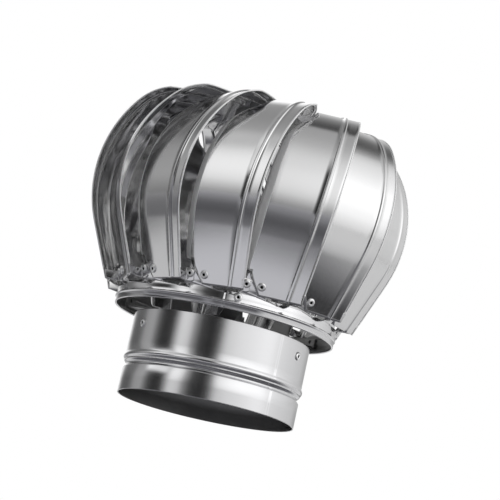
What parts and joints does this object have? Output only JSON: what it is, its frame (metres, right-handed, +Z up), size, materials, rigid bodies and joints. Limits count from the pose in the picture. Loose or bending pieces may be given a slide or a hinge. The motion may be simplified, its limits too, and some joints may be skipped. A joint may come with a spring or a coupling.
{
  "type": "rotating chimney cowl",
  "caption": "Ball-shaped rotating chimney cowl of curved stainless vanes that turns on a fixed spindle above a round flue neck.",
  "frame": {"origin": "centre of the neck's lower rim", "axes": "+Z up along the spindle, -Y towards the front as pictured"},
  "size_m": [0.2684, 0.2682, 0.2625],
  "materials": {
    "vane_sheet": "bright polished stainless sheet",
    "ring_sheet": "bright stainless sheet",
    "neck_sheet": "bright stainless sheet with a fine rolled grain",
    "support_sheet": "pressed stainless strip, satin",
    "rivets": "blind rivet, satin",
    "turned_steel": "turned steel",
    "zinc_plated": "zinc plated",
    "bush_plastic": "moulded nylon",
    "housing": "turned aluminium",
    "spring_steel": "dark spring steel",
    "bearing_steel": "ground bearing steel"
  },
  "bodies": {
    "base": {"neck_tube": "neck_sheet", "neck_rivets": "rivets", "support_spider": "support_sheet", "spindle": "turned_steel", "support_washer": "zinc_plated", "support_nut": "zinc_plated", "bearing_inner_ring": "bearing_steel", "lock_washer": "zinc_plated", "lock_nut": "zinc_plated"},
    "rotor": {"bearing_cap": "ring_sheet", "bearing_clip": "spring_steel", "bearing_housing": "housing", "bearing_outer_ring": "bearing_steel", "bottom_ring": "ring_sheet", "cap_screws": "zinc_plated", "corner_rivets": "rivets", "ear_rivets": "rivets", "guide_bush": "bush_plastic", "guide_spider": "support_sheet", "ring_rivets": "rivets", "top_disc": "ring_sheet", "top_rivets": "rivets", "vane_01": "vane_sheet", "vane_02": "vane_sheet", "vane_03": "vane_sheet", "vane_04": "vane_sheet", "vane_05": "vane_sheet", "vane_06": "vane_sheet", "vane_07": "vane_sheet", "vane_08": "vane_sheet", "vane_09": "vane_sheet", "vane_10": "vane_sheet", "vane_11": "vane_sheet", "vane_12": "vane_sheet", "vane_13": "vane_sheet"},
    "ball_set": {"bearing_cage": "bearing_steel", "bearing_balls": "bearing_steel"}
  },
  "joints": [
    {"name": "rotor_spin", "type": "hinge", "parent": "base", "child": "rotor", "pos_m": [0, 0, 0.2], "axis": [0, 0, 1], "continuous": true},
    {"name": "ball_spin", "type": "hinge", "parent": "base", "child": "ball_set", "pos_m": [0, 0, 0.2475], "axis": [0, 0, 1], "continuous": true}
  ],
  "couplings": [
    {"joint": "ball_spin", "follows": "rotor_spin", "ratio": 0.6127}
  ]
}
